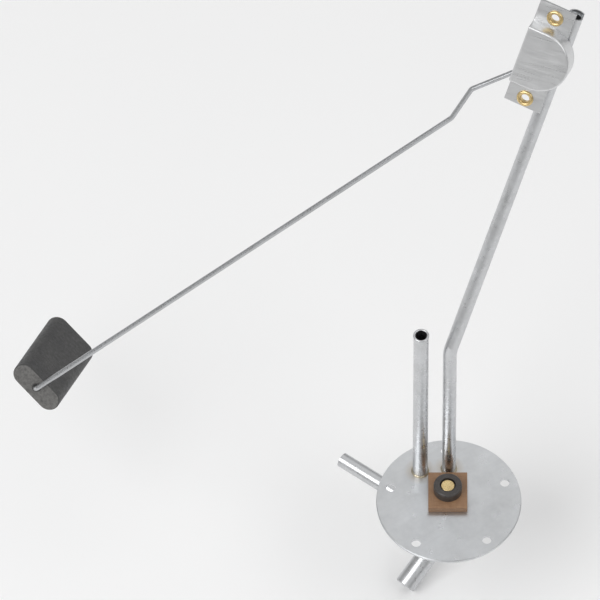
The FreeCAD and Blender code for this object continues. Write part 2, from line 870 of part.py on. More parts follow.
def make_pivot():
    pin = size("pin_diameter") / 2
    waist = pin - size("clip_groove")
    back = -size("plate_thickness")
    groove_top = retainer_bottom + size("retainer_thickness") + size("close")
    turned_part(
        "pivot_pin",
        [
            (0, back - size("pin_head_height")),
            (size("pin_head") / 2, back - size("pin_head_height")),
            (size("pin_head") / 2, back),
            (pin, back),
            (pin, retainer_bottom - size("close")),
            (waist, retainer_bottom - size("close")),
            (waist, groove_top),
            (pin, groove_top),
            (pin, pin_top),
            (0, pin_top),
        ],
        pivot_place,
    )
    turned_part(
        "thrust_washer",
        [
            (pin + size("running"), 0),
            (size("thrust_diameter") / 2, 0),
            (size("thrust_diameter") / 2, size("thrust_thickness")),
            (pin + size("running"), size("thrust_thickness")),
        ],
        pivot_place,
    )
    body = new_body("pivot_clip", pivot_place)
    ring = new_sketch(body, "ClipRing", lift=retainer_bottom)
    draw_circle(ring, size("retainer_diameter") / 2)
    draw_circle(ring, waist + size("close"))
    pad(body, ring, size("retainer_thickness"))
    slot = new_sketch(body, "ClipSlot", lift=retainer_bottom)
    draw_rectangle(slot, 0, size("retainer_diameter"), -waist, waist)
    pocket(body, slot, size("retainer_thickness"), upward=True)


def make_resistor():
    """The curved card on its two feet, and the resistance wire wound round it turn by turn."""
    half = size("card_thickness") / 2
    inner, outer = card_radius - half, card_radius + half
    body = new_body("resistor_card", pivot_place)
    feet = new_sketch(body, "CardFeet", "XZ_Plane")
    draw_rectangle(feet, inner, outer, 0, size("card_top"))
    revolve(body, feet, size("card_span_angle") + size("card_foot_angle") * 2, both_ways=True)
    gap = new_sketch(body, "CardGap", "XZ_Plane")
    margin = size("cut_margin")
    draw_rectangle(gap, inner - margin, outer + margin, -size("card_bottom"), size("card_bottom"))
    groove(body, gap, size("card_span_angle"), both_ways=True)
    tabs = new_sketch(body, "CardTabs")
    for side in (1, -1):
        draw_card_tab(tabs, side, as_size(0), up=as_size(0))
    pad(body, tabs, size("plate_thickness") - size("close"), downward=True)

    body = new_body("resistance_winding", pivot_place)
    loose = size("close")
    layer = loose + size("wire_layer")
    ridge = layer + size("turn_ridge")
    wound = size("card_span_angle") - size("winding_margin_angle") * 2
    core = new_sketch(body, "WindingLayer", "XZ_Plane")
    draw_rectangle(
        core, inner - layer, outer + layer, size("card_bottom") - layer, size("card_top") + layer
    )
    revolve(body, core, wound, both_ways=True)
    turn = new_sketch(body, "WindingTurn", "XZ_Plane")
    draw_rectangle(
        turn, inner - ridge, outer + ridge, size("card_bottom") - ridge, size("card_top") + ridge
    )
    pitch = wound / size("turn_count")
    one_turn = revolve(body, turn, pitch / 2, both_ways=True)
    plan = new_sketch(body, "WindingAxis")
    draw_circle(plan, card_radius)
    half_count = (size("turn_count") - 1) / 2
    for side, reverse in (("Left", False), ("Right", True)):
        pattern = body.newObject("PartDesign::PolarPattern", f"Winding{side}")
        pattern.Originals = [one_turn]
        pattern.Axis = (plan, ["N_Axis"])
        pattern.Reversed = reverse
        bind(pattern, "Occurrences", size("turn_count") / 2)
        bind(pattern, "Angle", pitch * half_count)
        body.Tip = pattern
        doc.recompute()
    card = new_sketch(body, "WindingCore", "XZ_Plane")
    draw_rectangle(
        card, inner - loose, outer + loose, size("card_bottom") - loose, size("card_top") + loose
    )
    groove(body, card, size("card_span_angle"), both_ways=True)


def make_card_terminal():
    """The brass rivet that ends the winding, through the card's upper foot."""
    angle = (size("card_span_angle") / 2 + size("card_foot_angle") / 2).number
    middle = (size("card_top") / 2).number
    spot = Placement(Vector(), Rotation(Vector(0, 0, 1), angle)) * Placement(
        Vector(card_radius.number, 0, middle), Rotation(Vector(0, 1, 0), 90)
    )
    reach = size("card_thickness") / 2
    head = size("tag_rivet")
    hollow = head * head / (card_radius - reach) / 2
    inside = -reach - hollow - size("close")
    turned_part(
        "card_terminal",
        [
            (0, inside - size("tag_head")), (head, inside - size("tag_head")), (head, inside),
            (head / 2, inside), (head / 2, reach), (head, reach),
            (head, reach + size("tag_head")), (0, reach + size("tag_head")),
        ],
        pivot_place * spot,
    )
    card = [item for item in parts if item.Label == "resistor_card"][0]
    hole = new_sketch(card, "RivetHole", "YZ_Plane")
    hole.AttachmentOffset = Placement(Vector(), Rotation(Vector(0, 1, 0), angle))
    draw_circle(hole, head / 2 + size("close"), 0, size("card_top") / 2)
    pocket(card, hole, card_radius + size("card_thickness"), upward=True)


def make_hub():
    """The die-cast hub: a sleeve on the pivot pin and a lug that grips the arm wire."""
    body = new_body("arm_hub", arm_place)
    sleeve = new_sketch(body, "HubSleeve", lift=hub_bottom)
    draw_circle(sleeve, size("hub_diameter") / 2)
    pad(body, sleeve, size("hub_height"))
    lug = new_sketch(body, "HubLug", lift=hub_bottom)
    side = size("lug_width") / 2
    offset = size("wire_offset")
    draw_rectangle(lug, 0, size("lug_length"), offset - side, offset + side)
    pad(body, lug, size("hub_height"))
    spigot = new_sketch(body, "HubSpigot", lift=hub_top)
    draw_circle(spigot, size("hub_spigot") / 2)
    pad(body, spigot, size("spigot_height"))
    bore = new_sketch(body, "HubBore", lift=hub_bottom)
    draw_circle(bore, size("pin_diameter") / 2 + size("running"))
    pocket(body, bore, size("hub_height") + size("spigot_height"), upward=True)
    grip = new_sketch(body, "WireGrip", "YZ_Plane", size("lug_length"))
    draw_circle(grip, wire_radius + size("close"), offset, size("wire_height"))
    pocket(body, grip, size("lug_length") - size("wire_start") + size("close"))
    thread = new_sketch(body, "GrubHole", "XZ_Plane", side - offset)
    draw_circle(thread, size("grub_diameter") / 2 + size("close"), size("grub_along"), size("wire_height"))
    pocket(body, thread, side)

    screw_end = offset - wire_radius - size("close")
    screw_head = offset - side - size("grub_proud")
    place = arm_place * Placement(
        Vector(size("grub_along").number, screw_end.number, size("wire_height").number),
        Rotation(Vector(1, 0, 0), 90),
    )
    radius = size("grub_diameter") / 2
    length = screw_end - screw_head
    body = turned_part("hub_screw", [(0, 0), (radius, 0), (radius, length), (0, length)], place)
    slot = new_sketch(body, "ScrewSlot", lift=length)
    half = size("grub_slot") / 2
    beyond = radius + size("cut_margin")
    draw_rectangle(slot, -beyond, beyond, -half, half)
    pocket(body, slot, size("grub_slot_depth"))


def make_wiper():
    turn = Placement(Vector(), Rotation(Vector(0, 0, 1), size("wiper_angle").number))
    place = arm_place * turn
    body = new_body("wiper_spring", place)
    ring = new_sketch(body, "WiperRing", lift=hub_top)
    draw_circle(ring, size("hub_diameter") / 2 - size("ring_setback"))
    pad(body, ring, size("wiper_thickness"))
    blade = new_sketch(body, "WiperBlade", lift=hub_top)
    root, tip = size("wiper_root") / 2, size("wiper_tip") / 2
    reach = card_radius + tip
    draw_outline(blade, [(0, -root), (reach, -tip), (reach, tip), (0, root)])
    pad(body, blade, size("wiper_thickness"))
    hole = new_sketch(body, "WiperHole", lift=hub_top)
    draw_circle(hole, size("hub_spigot") / 2 + size("close"))
    pocket(body, hole, size("wiper_thickness"), upward=True)

    radius = size("contact_diameter") / 2
    bottom = winding_top + size("contact_gap")
    spot = place * Placement(Vector(card_radius.number, 0, 0), Rotation())
    turned_part(
        "wiper_contact",
        [
            (0, bottom), (size("contact_face") / 2, bottom), (radius, bottom + size("contact_bevel")),
            (radius, hub_top), (0, hub_top),
        ],
        spot,
    )


def make_arm_wire():
    radii = [size("arm_bend").number, size("arm_bend").number, size("eye_bend").number]
    route = bent_route("arm_wire", arm_corners(), radii)
    wire = sweep_round("arm_wire", route, wire_radius)
    wire.Placement = arm_place
    parts.append(wire)


def make_float():
    body = new_body("float", float_place)
    section = new_sketch(body, "FloatSection", lift=float_front)
    radius = size("float_thickness") / 2
    draw_stadium(section, size("float_width") / 2 - radius, radius)
    pad(body, section, size("float_depth"), downward=True)
    dress_edges(body, "Fillet", size("float_edge"), lambda edge: edge.BoundBox.ZLength < 1e-4)
    bore = new_sketch(body, "FloatBore", lift=float_front)
    draw_circle(bore, wire_radius + size("running"))
    pocket(body, bore, size("float_depth"))

    top = float_back - size("end_float")
    bottom = top - size("push_nut_thickness")
    rim = size("push_nut_diameter") / 2
    bore_radius = wire_radius + size("close")
    turned_part(
        "float_push_nut",
        [
            (bore_radius, bottom), (size("push_nut_crown") / 2, bottom), (rim, top - size("push_nut_rim")),
            (rim, top), (bore_radius, top),
        ],
        arm_place * Placement(Vector(eye.x, eye.y, 0), Rotation()),
    )


def write_parts():
    """Checks every object of the document, then writes each part's solid to its own file."""
    doc.recompute()
    for item in doc.Objects:
        if "Invalid" in item.State or "Error" in item.State:
            raise RuntimeError(f"{item.Label} failed: {item.State}")
    for item in parts:
        shape = item.Shape
        if shape.isNull() or not shape.isValid() or not shape.Solids:
            raise RuntimeError(f"{item.Label} has no sound solid")
    os.makedirs("parts", exist_ok=True)
    for item in parts:
        item.Shape.exportStep(f"parts/{item.Label}.step")


make_flange()
make_supply_pipe()
make_outlet_nipple()
make_vent_pipe()
make_braze_rings()
make_terminal()
make_sender_plate()
make_sender_cover()
make_eyelets()
make_pipe_clips()
make_pivot()
make_resistor()
make_card_terminal()
make_hub()
make_wiper()
make_arm_wire()
make_float()
write_parts()
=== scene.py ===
import json
import math
import random

import bmesh
import bpy
from mathutils import Matrix, Vector


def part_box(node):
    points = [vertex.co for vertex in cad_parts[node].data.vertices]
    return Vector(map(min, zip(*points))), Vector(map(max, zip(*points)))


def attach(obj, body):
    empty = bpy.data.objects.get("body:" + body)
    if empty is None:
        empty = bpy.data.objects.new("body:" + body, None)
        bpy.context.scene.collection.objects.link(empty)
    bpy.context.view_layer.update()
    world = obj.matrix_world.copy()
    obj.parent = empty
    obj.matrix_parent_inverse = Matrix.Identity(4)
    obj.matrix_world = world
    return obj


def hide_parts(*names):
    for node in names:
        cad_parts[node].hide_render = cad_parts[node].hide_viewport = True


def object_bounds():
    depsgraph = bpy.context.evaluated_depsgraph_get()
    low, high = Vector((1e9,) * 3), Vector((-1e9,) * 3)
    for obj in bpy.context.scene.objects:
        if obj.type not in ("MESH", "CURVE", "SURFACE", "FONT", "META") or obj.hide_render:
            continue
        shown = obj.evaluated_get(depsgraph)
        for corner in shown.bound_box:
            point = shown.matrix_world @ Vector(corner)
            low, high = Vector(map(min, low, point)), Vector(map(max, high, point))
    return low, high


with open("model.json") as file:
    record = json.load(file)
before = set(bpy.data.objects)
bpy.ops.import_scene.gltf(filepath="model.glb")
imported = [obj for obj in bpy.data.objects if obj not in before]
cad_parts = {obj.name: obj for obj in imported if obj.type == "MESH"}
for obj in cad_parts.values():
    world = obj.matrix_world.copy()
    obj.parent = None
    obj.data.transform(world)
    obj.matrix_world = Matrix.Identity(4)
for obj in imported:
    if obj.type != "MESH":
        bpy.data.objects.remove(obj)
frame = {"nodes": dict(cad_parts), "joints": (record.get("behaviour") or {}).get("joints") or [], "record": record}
cad_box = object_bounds()
random.seed(7)

MM = 0.001

# Camera: straight ahead along +Y, looking down on the flange at the drawing's angle.
# The lens is very long, because the drawing has no perspective.
CAMERA_ELEVATION = math.radians(56.5)
LENS_MM = 1500.0
SENSOR_MM = 36.0
PICTURE_PIXELS = 600
PIXEL_MM = 0.5785
PICTURE_WIDTH = PIXEL_MM * MM * PICTURE_PIXELS
FLANGE_PIXEL = (448.8, 500.5)
CLIP_START = 0.1

# Turned details that take the place of plain CAD solids, in millimetres. STATIONS count the spans along
# an outline and STEPS those round the axis. An outline is a list of (radius, height), or, where its name
# ends in DEPTHS, of (radius, depth in from the piece's end). A RIPPLE takes away that much at most.
BEAD_STATIONS = 9
BEAD_STEPS = 144
BEAD_CREST_RIPPLE = 0.28
BEAD_SPREAD_RIPPLE = 0.34
BEAD_BULGE = 0.16

EYELET_SHANK = 3.3
EYELET_RIM = 5.0
EYELET_DEPTHS = [
    (2.6, 1.15), (2.64, 0.78), (2.80, 0.45), (3.08, 0.18), (3.45, 0.04), (3.85, 0.0), (4.25, 0.05),
    (4.60, 0.20), (4.85, 0.45), (EYELET_RIM, 0.75), (4.98, 0.93), (4.80, 1.0), (EYELET_SHANK, 1.0),
]
EYELET_RIPPLE = 0.10
EYELET_RIPPLE_FROM = EYELET_SHANK + 0.3  # the radius beyond which the rim ripples
EYELET_STEPS = 72

STUD_RADIUS = 2.5
STUD_TIP = [(0.35, 0.0), (1.35, 0.0), (1.6, 0.08), (1.9, 0.3), (2.05, 0.5), (2.05, 4.45), (2.12, 4.5)]
STUD_THREAD_END = 14.6
STUD_HEAD_DEPTHS = [
    (STUD_RADIUS, 1.6), (3.92, 1.6), (4.0, 1.52), (4.0, 0.42), (3.92, 0.22), (3.76, 0.08), (3.55, 0.01),
    (3.3, 0.0), (0.35, 0.0),
]
STUD_STEPS = 64
THREAD_LOW = 4.6
THREAD_HIGH = 14.4
THREAD_PITCH = 0.8
THREAD_DEPTH = 0.4
THREAD_FLANK = 2.6  # how steep the flanks are, from crest to root
THREAD_FADE = 0.5  # the length over which the thread runs out
THREAD_STATIONS = 8  # for each turn

PUSH_NUT_UNDERSIDE = [
    (1.0, 0.0), (2.2, 0.0), (2.45, 0.04), (3.1, 0.27), (3.8, 0.53), (3.95, 0.62), (4.0, 0.75),
]
PUSH_NUT_RIM_DEPTHS = [(4.0, 0.06), (3.94, 0.0), (3.6, 0.0)]
PUSH_NUT_UPSIDE = [(3.55, 0.92), (3.0, 0.68), (2.3, 0.41), (1.0, 0.36)]
PUSH_NUT_TEETH = 6
PUSH_NUT_SLOT_RADIUS = 2.15
PUSH_NUT_TOOTH_RADIUS = 1.53
PUSH_NUT_HALF_SLOT = math.radians(5)
PUSH_NUT_STEPS = 180

# The pressed cover, in millimetres in the sender's own frame: X across, Y up the leg, Z out of the plate
UPPER_EYELET = (0.2, 27.0)
LOWER_EYELET = (0.2, -29.2)
EYELET_BACK = 3.0
EYELET_HOLE = 3.32
EAR_HALF_LENGTH = 34.65
EAR_EDGE = 0.12
HALF_WIDTH = 11.2
SHEET = 0.6
CAN_RADIUS = 19.2
CAN_HEIGHT = 10.5
CAN_CENTRE = 1.7
CAN_EDGE = 1.1
CAN_EDGE_STEPS = 8
CAN_CORNER = 0.8
CAN_CROWN = 0.15
CAN_CROWN_STEPS = 12
CAN_FLAT_MIDDLE = 0.5  # the left side of the crown's last ring is at least this far from X = 0
WINDOW_LOW = -16.9
WINDOW_HIGH = 6.746
WINDOW_HEIGHT = 7.4
FOOT_FILLET = 0.45
FOOT_SEGMENTS = 3
FOOT_LEVEL = 0.01  # how near the ears' top an edge of the can's foot lies
CUT_MARGIN = 1.0
WELD = 1e-4  # points nearer than this are one

# Sharp CAD edges that are rounded off on the pieces in the scene, in millimetres
SOFTENED = {
    "terminal_block": 0.35,
    "terminal_bushing": 0.25,
    "outer_insulator": 0.25,
    "terminal_washer": 0.12,
    "terminal_nut": 0.12,
    "lead_nut": 0.12,
    "sender_plate": 0.14,
    "upper_pipe_clip": 0.12,
    "lower_pipe_clip": 0.12,
}
SOFT_SEGMENTS = 2
SOFT_WELD = 0.002  # CAD points nearer than this are one
FLAT_ANGLE = math.radians(0.6)
EDGE_ANGLE = math.radians(40)
FOOT_ANGLE = math.radians(50)
FACE_WEIGHT = 100

# Floor, room light and lamps. A lamp has a place and a width in metres, and a power in watts.
FLOOR_GAP = 0.5 * MM
FLOOR_SIZE = 14.0
WORLD_BOTTOM = -0.2
WORLD_LOW = 0.31
WORLD_HIGH = 0.62
SOFTBOX_STRENGTH = 0.30
SOFTBOX_DIRECTION = (-0.18, 0.62, 0.76)
SOFTBOX_EDGE = 0.80
SOFTBOX_CORE = 0.97
LAMPS = {
    "key": ((-1.3, -1.1, 1.9), 1.7, 28),
    "fill": ((1.7, -1.2, 2.2), 1.5, 11.5),
    "rim": ((2.0, 0.9, 1.9), 1.4, 6),
}

# Finishes that share one pattern. After colour, roughness and metallic come three noises: clouds of a
# second colour (scale, detail, colour, amount), gloss (scale, detail, change) and relief (scale, detail,
# height in millimetres).
PLAIN_FINISHES = {
    "spring_wire": (
        (0.52, 0.53, 0.545), 0.3, 1.0,
        (0.12, 4, (0.42, 0.425, 0.43), 0.6), (1.6, 4, 0.08), (2.6, 3, 0.008),
    ),
    "bright_steel": (
        (0.58, 0.585, 0.59), 0.28, 1.0,
        (0.6, 4, (0.46, 0.465, 0.47), 0.6), (2.0, 4, 0.07), (4.0, 3, 0.006),
    ),
    "brass": (
        (0.76, 0.59, 0.30), 0.3, 1.0,
        (0.5, 4, (0.60, 0.44, 0.21), 0.6), (1.8, 4, 0.09), (3.2, 3, 0.008),
    ),
    "braze": (
        (0.62, 0.56, 0.42), 0.42, 1.0,
        (0.7, 4, (0.40, 0.36, 0.29), 0.8), (1.4, 5, 0.14), (1.6, 4, 0.06),
    ),
    "spring_bronze": (
        (0.70, 0.45, 0.27), 0.3, 1.0,
        (0.5, 3, (0.55, 0.35, 0.22), 0.5), (1.8, 3, 0.07), (3.2, 2, 0.005),
    ),
    "silver": (
        (0.82, 0.81, 0.79), 0.22, 1.0,
        (1.4, 3, (0.66, 0.65, 0.62), 0.5), (2.4, 3, 0.06), (5.0, 2, 0.004),
    ),
    "resistance_wire": (
        (0.52, 0.48, 0.42), 0.35, 1.0,
        (1.2, 3, (0.36, 0.33, 0.29), 0.6), (3.0, 3, 0.08), (6.0, 2, 0.01),
    ),
    "die_cast": (
        (0.50, 0.51, 0.52), 0.48, 1.0,
        (0.5, 4, (0.40, 0.405, 0.41), 0.7), (1.2, 5, 0.1), (2.0, 5, 0.03),
    ),
    "phenolic_black": (
        (0.040, 0.036, 0.034), 0.34, 0.0,
        (0.4, 4, (0.075, 0.066, 0.06), 0.6), (1.2, 4, 0.09), (1.8, 5, 0.018),
    ),
}


def socket(node, name):
    """The node's first input of that name that takes a value."""
    return [item for item in node.inputs if item.name == name and item.enabled][0]


class Finish:
    """A material whose Principled shader is fed by small procedural node chains.

    Colours are linear, scales are in features per millimetre, and heights are in millimetres.
    """

    def __init__(self, name, colour, roughness, metallic=0.0, **constants):
        self.material = bpy.data.materials.new(name)
        self.material.use_nodes = True
        self.tree = self.material.node_tree
        self.shader = self.tree.nodes["Principled BSDF"]
        self.colour = colour
        self.shader.inputs["Base Color"].default_value = (*colour, 1)
        self.shader.inputs["Roughness"].default_value = roughness
        self.shader.inputs["Metallic"].default_value = metallic
        for key, value in constants.items():
            self.shader.inputs[key.replace("_", " ")].default_value = value
        self.roughness = roughness
        self.coordinates = self.tree.nodes.new("ShaderNodeTexCoord")
        self.bump = None

    def add(self, kind, **settings):
        node = self.tree.nodes.new(kind)
        for key, value in settings.items():
            if hasattr(node, key):
                setattr(node, key, value)
            else:
                socket(node, key.replace("_", " ")).default_value = value
        return node

    def link(self, source, target):
        self.tree.links.new(source, target)

    def place(self, stretch=(1, 1, 1), turn=(0, 0, 0)):
        """Object coordinates in millimetres, turned and then stretched."""
        mapping = self.add("ShaderNodeMapping", vector_type="TEXTURE")
        mapping.inputs["Rotation"].default_value = turn
        mapping.inputs["Scale"].default_value = [MM / value for value in stretch]
        self.link(self.coordinates.outputs["Object"], mapping.inputs["Vector"])
        return mapping.outputs["Vector"]

    def noise(self, scale, detail, stretch=(1, 1, 1), turn=(0, 0, 0), rough=0.5):
        texture = self.add("ShaderNodeTexNoise", Scale=scale, Detail=detail, Roughness=rough)
        self.link(self.place(stretch, turn), texture.inputs["Vector"])
        return texture.outputs["Fac"]

    def cells(self, scale):
        texture = self.add("ShaderNodeTexVoronoi", feature="F1", Scale=scale)
        self.link(self.place(), texture.inputs["Vector"])
        return texture.outputs["Distance"]

    def spread(self, source, low, high, start=0.3, end=0.7):
        """Maps a texture value from start..end to low..high."""
        node = self.add("ShaderNodeMapRange")
        ends = {"From Min": start, "From Max": end, "To Min": low, "To Max": high}
        for key, value in ends.items():
            socket(node, key).default_value = value
        self.link(source, socket(node, "Value"))
        return node.outputs["Result"]

    def tint(self, source, second, amount, start=0.3, end=0.7):
        """Blends the base colour towards a second one where the texture is high."""
        mix = self.add("ShaderNodeMix", data_type="RGBA")
        colours = [item for item in mix.inputs if item.type == "RGBA"]
        previous = self.shader.inputs["Base Color"].links
        if previous:
            self.link(previous[0].from_socket, colours[0])
        else:
            colours[0].default_value = (*self.colour, 1)
        colours[1].default_value = (*second, 1)
        self.link(self.spread(source, 0, amount, start, end), mix.inputs["Factor"])
        output = [item for item in mix.outputs if item.type == "RGBA"][0]
        self.link(output, self.shader.inputs["Base Color"])

    def around(self, centre, axis, inner, outer):
        """1 within the inner distance of a line in millimetres, fading to 0 at the outer one."""
        local = self.add("ShaderNodeMapping", vector_type="TEXTURE")
        local.inputs["Location"].default_value = centre
        local.inputs["Rotation"].default_value = turn_to(axis)
        local.inputs["Scale"].default_value = (MM, MM, MM)
        self.link(self.coordinates.outputs["Object"], local.inputs["Vector"])
        flatten = self.add("ShaderNodeVectorMath", operation="MULTIPLY")
        flatten.inputs[1].default_value = (1, 1, 0)
        self.link(local.outputs["Vector"], flatten.inputs[0])
        length = self.add("ShaderNodeVectorMath", operation="LENGTH")
        self.link(flatten.outputs["Vector"], length.inputs[0])
        return self.spread(length.outputs["Value"], 1, 0, inner, outer)

    def faces(self, axis):
        """1 on the faces that look along the axis, either way, and 0 on the others."""
        dot = self.add("ShaderNodeVectorMath", operation="DOT_PRODUCT")
        dot.inputs[1].default_value = axis
        self.link(self.coordinates.outputs["Normal"], dot.inputs[0])
        size = self.add("ShaderNodeMath", operation="ABSOLUTE")
        self.link(dot.outputs["Value"], size.inputs[0])
        turned_away, facing = 0.82, 0.97
        return self.spread(size.outputs["Value"], 0, 1, turned_away, facing)

    def gloss(self, source, change):
        """Lets the roughness wander by the change, either way."""
        low, high = self.roughness - change, self.roughness + change
        self.link(self.spread(source, low, high), self.shader.inputs["Roughness"])

    def relief(self, source, height):
        """Adds a bump of the given height to what is there already."""
        node = self.add("ShaderNodeBump", Strength=1.0, Distance=height * MM)
        self.link(source, node.inputs["Height"])
        if self.bump:
            self.link(self.bump, node.inputs["Normal"])
        self.bump = node.outputs["Normal"]
        self.link(self.bump, self.shader.inputs["Normal"])


def joint_named(name):
    return [joint for joint in frame["joints"] if joint["name"] == name][0]


SLOT_OF = {entry["node"]: entry["material_slot"] for entry in frame["record"]["subparts"]}
BODY_OF = {
    node: body for body, nodes in frame["record"]["behaviour"]["bodies"].items() for node in nodes
}
SENDER_AXIS = -Vector(joint_named("arm_swing")["axis"]).normalized()
EYE = Vector(joint_named("float_spin")["pos_m"])
UP = Vector((0, 0, 1))


def middle_of(node):
    low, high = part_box(node)
    return (Vector(low) + Vector(high)) / 2


SUPPLY_FOOT = middle_of("supply_braze")
VENT_FOOT = middle_of("vent_braze")


def turn_to(direction):
    """Euler angles that bring the local Z axis onto a direction."""
    return direction.to_track_quat("Z", "Y").to_euler()


def zinc_plate():
    """Bright zinc: a cloudy tone, faint rubbed streaks and a heat stain round the brazed pipes."""
    finish = Finish("zinc_plate", (0.66, 0.675, 0.69), 0.33, 1.0)
    finish.tint(finish.noise(0.05, 4), (0.54, 0.55, 0.56), 0.75)
    finish.tint(finish.noise(0.30, 1), (0.72, 0.73, 0.74), 0.3)
    for pipe in (SUPPLY_FOOT, VENT_FOOT):
        finish.tint(finish.around(pipe, UP, 4.8, 9.5), (0.47, 0.41, 0.33), 0.65, 0.0, 1.0)
    rubbed = finish.noise(0.4, 1, stretch=(0.08, 1.2, 1), turn=(0, 0, 0.6))
    finish.tint(rubbed, (0.60, 0.61, 0.62), 0.35, 0.45, 0.75)
    finish.gloss(finish.noise(0.12, 2), 0.07)
    finish.relief(finish.noise(0.04, 1), 0.04)
    return finish.material


def tube_steel():
    """Plated steel tube: cloudy plating that is a little uneven."""
    finish = Finish("tube_steel", (0.62, 0.63, 0.645), 0.31, 1.0)
    finish.tint(finish.noise(0.06, 4), (0.50, 0.505, 0.51), 0.75)
    finish.tint(finish.noise(0.35, 3), (0.70, 0.71, 0.72), 0.35)
    finish.gloss(finish.noise(0.3, 4), 0.08)
    finish.relief(finish.noise(0.2, 1), 0.006)
    return finish.material


def can_tin():
    """Tinned sheet: rolling marks across the sender, cloudy patches, soft dents from the press."""
    finish = Finish("can_tin", (0.74, 0.745, 0.75), 0.34, 1.0)
    finish.tint(finish.noise(0.10, 3), (0.62, 0.625, 0.63), 0.7)
    brushed = finish.noise(0.7, 2, stretch=(0.06, 1.6, 1.6), turn=turn_to(SENDER_AXIS))
    finish.tint(brushed, (0.66, 0.665, 0.67), 0.35)
    finish.gloss(brushed, 0.08)
    finish.relief(brushed, 0.003)
    finish.relief(finish.noise(0.08, 1), 0.04)
    return finish.material


def plain_finish(name):
    """A finish from the table: clouds of a second colour, uneven gloss and a fine relief."""
    colour, roughness, metallic, clouds, gloss, relief = PLAIN_FINISHES[name]
    finish = Finish(name, colour, roughness, metallic)
    finish.tint(finish.noise(*clouds[:2]), *clouds[2:])
    finish.gloss(finish.noise(*gloss[:2]), gloss[2])
    finish.relief(finish.noise(*relief[:2]), relief[2])
    return finish.material


def phenolic_sheet():
    """Laminated sheet: brown, with the weave of its cloth just showing."""
    finish = Finish("phenolic_sheet", (0.30, 0.17, 0.09), 0.42, Specular_IOR_Level=0.5)
    finish.tint(finish.noise(0.35, 4), (0.22, 0.115, 0.06), 0.8)
    finish.tint(finish.noise(0.7, 2, stretch=(0.3, 3, 1)), (0.40, 0.25, 0.145), 0.5)
    finish.tint(finish.noise(0.7, 2, stretch=(3, 0.3, 1)), (0.19, 0.10, 0.052), 0.45)
    finish.gloss(finish.noise(1.6, 4), 0.1)
    finish.relief(finish.noise(2.4, 2, stretch=(1, 6, 1)), 0.02)
    finish.relief(finish.noise(2.4, 2, stretch=(6, 1, 1)), 0.02)
    return finish.material


def fibre_card():
    """Vulcanised fibre: brown, with streaks along the card."""
    finish = Finish("fibre_card", (0.42, 0.25, 0.12), 0.6, Specular_IOR_Level=0.4)
    finish.tint(finish.noise(1.6, 4, stretch=(5, 1, 1)), (0.54, 0.36, 0.2), 0.6)
    finish.gloss(finish.noise(1.6, 4), 0.08)
    finish.relief(finish.noise(3.0, 4), 0.02)
    return finish.material


def nitrile_foam():
    """Closed-cell foam: a smooth skin, paler cut ends and a painted shade ring round the wire, standing for the
    shade in the bore.
    """
    finish = Finish("nitrile_foam", (0.050, 0.050, 0.052), 0.52, Specular_IOR_Level=0.45)
    finish.tint(finish.noise(0.09, 5), (0.085, 0.084, 0.082), 0.8)
    finish.tint(finish.noise(1.2, 4), (0.034, 0.034, 0.035), 0.5)
    cut = finish.faces(SENDER_AXIS)
    finish.tint(cut, (0.165, 0.162, 0.156), 0.9, 0.0, 1.0)
    finish.tint(finish.noise(0.55, 5, rough=0.75), (0.040, 0.039, 0.038), 0.65, 0.42, 0.66)
    # Painted shade: a near-black ring round the wire, standing for the shade in the float's bore round the wire's
    # end.
    finish.tint(finish.around(EYE, SENDER_AXIS, 2.0, 3.2), (0.018, 0.018, 0.018), 0.95, 0.0, 1.0)
    finish.gloss(finish.noise(0.5, 5), 0.12)
    pits = finish.spread(finish.cells(1.1), 0, 1, 0.0, 0.32)
    finish.relief(pits, 0.10)
    finish.relief(finish.noise(0.4, 4), 0.15)
    return finish.material


def dress_nodes():
    """Gives every CAD node its finish, by the record's material slot."""
    finishes = {name: plain_finish(name) for name in PLAIN_FINISHES}
    finishes.update({
        "zinc_plate": zinc_plate(),
        "pipe": tube_steel(),
        "phenolic": phenolic_sheet(),
        "tin_can": can_tin(),
        "card": fibre_card(),
        "foam": nitrile_foam(),
    })
    for node, slot in SLOT_OF.items():
        mesh = frame["nodes"][node].data
        mesh.materials.clear()
        mesh.materials.append(finishes[slot])
    return finishes


def link_piece(name, mesh, node):
    """Puts a mesh in the scene as the piece for a CAD node, on the node's body and in its finish."""
    piece = bpy.data.objects.new(name, mesh)
    bpy.context.collection.objects.link(piece)
    level = piece.modifiers.new("flat_faces_stay_flat", "WEIGHTED_NORMAL")
    level.weight = FACE_WEIGHT
    level.keep_sharp = True
    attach(piece, BODY_OF[node])
    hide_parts(node)
    mesh.materials.append(finishes[SLOT_OF[node]])


def smooth_mesh(name, mould, sharp_degrees):
    """A mesh that shades smoothly, except over edges sharper than the angle."""
    mesh = bpy.data.meshes.new(name)
    mould.to_mesh(mesh)
    mould.free()
    if "custom_normal" in mesh.attributes:
        mesh.attributes.remove(mesh.attributes["custom_normal"])
    mesh.materials.clear()
    mesh.polygons.foreach_set("use_smooth", [True] * len(mesh.polygons))
    mesh.set_sharp_from_angle(angle=math.radians(sharp_degrees))
    return mesh


def node_frame(node, axis):
    """A turned node's frame, Z along its axis from the node's low end, and its height."""
    turn = axis.to_track_quat("Z", "Y").to_matrix().to_4x4()
    back = turn.inverted()
    points = [back @ corner.co for corner in frame["nodes"][node].data.vertices]
    low = [min(point[side] for point in points) for side in range(3)]
    high = [max(point[side] for point in points) for side in range(3)]
    foot = Vector(((low[0] + high[0]) / 2, (low[1] + high[1]) / 2, low[2]))
    return turn @ Matrix.Translation(foot), (high[2] - low[2]) / MM


